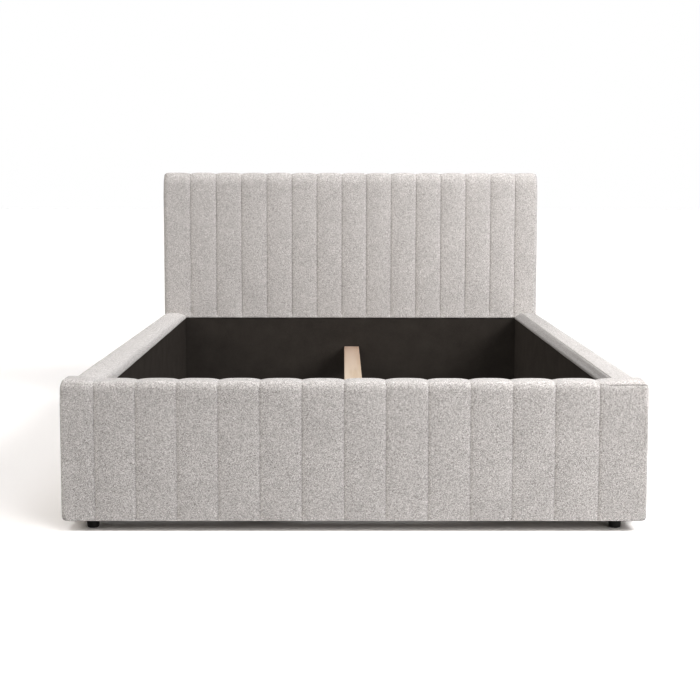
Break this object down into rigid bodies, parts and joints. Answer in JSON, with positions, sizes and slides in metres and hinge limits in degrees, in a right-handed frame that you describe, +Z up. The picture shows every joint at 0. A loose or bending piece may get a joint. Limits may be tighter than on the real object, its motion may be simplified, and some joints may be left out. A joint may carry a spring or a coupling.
{
  "type": "double bed",
  "caption": "Upholstered double bed frame with a channel-quilted headboard and footboard, padded side rails, hook-in corner fittings and a timber middle beam on a levelling leg.",
  "frame": {"origin": "on the floor under the middle of the bed", "axes": "+X to the right seen from the foot end, +Y from the foot end to the head end, +Z up"},
  "size_m": [1.6, 2.2, 1],
  "materials": {
    "upholstery": "short-pile melange",
    "lining": "brushed lining cloth",
    "back_cloth": "non-woven",
    "board": "raw particle board",
    "hardboard": "smooth hardboard",
    "pine": "planed softwood",
    "black_steel": "black powder coat",
    "zinc_steel": "zinc plated",
    "screw_steel": "yellow zinc",
    "black_plastic": "moulded"
  },
  "bodies": {
    "bed_frame": {"back_left_foot": "black_plastic", "back_right_foot": "black_plastic", "beam_bracket_screws": "screw_steel", "beam_foot_bracket": "black_steel", "beam_head_bracket": "black_steel", "centre_beam": "pine", "foot_studs": "screw_steel", "footboard_crossbars": "pine", "footboard_inner_board": "board", "footboard_lining": "lining", "footboard_pad": "upholstery", "footboard_panel": "board", "footboard_stiles": "pine", "front_left_foot": "black_plastic", "front_right_foot": "black_plastic", "headboard_back_board": "hardboard", "headboard_back_cloth": "back_cloth", "headboard_crossbars": "pine", "headboard_lining": "lining", "headboard_lower_board": "board", "headboard_pad": "upholstery", "headboard_panel": "board", "headboard_stiles": "pine", "hook_plate_screws": "screw_steel", "left_foot_hook_plate": "zinc_steel", "left_foot_slat_angle": "black_steel", "left_foot_slot_plate": "zinc_steel", "left_head_hook_plate": "zinc_steel", "left_head_slot_plate": "zinc_steel", "left_middle_slat_angle": "black_steel", "left_rail_blocks": "pine", "left_rail_inner_board": "board", "left_rail_laths": "pine", "left_rail_lining": "lining", "left_rail_outer_board": "board", "left_rail_pad": "upholstery", "leg_bush": "black_plastic", "leg_plate": "black_steel", "leg_plate_screws": "screw_steel", "leg_tube": "black_steel", "right_foot_hook_plate": "zinc_steel", "right_foot_slat_angle": "black_steel", "right_foot_slot_plate": "zinc_steel", "right_head_hook_plate": "zinc_steel", "right_head_slot_plate": "zinc_steel", "right_middle_slat_angle": "black_steel", "right_rail_blocks": "pine", "right_rail_inner_board": "board", "right_rail_laths": "pine", "right_rail_lining": "lining", "right_rail_outer_board": "board", "right_rail_pad": "upholstery", "slat_angle_screws": "screw_steel", "slot_plate_screws": "screw_steel"},
    "glide": {"leg_glide": "black_plastic"}
  },
  "joints": [
    {"name": "glide_height", "type": "slide", "parent": "bed_frame", "child": "glide", "axis": [0, 0, -1], "range_m": [-0.01, 0.02]}
  ]
}
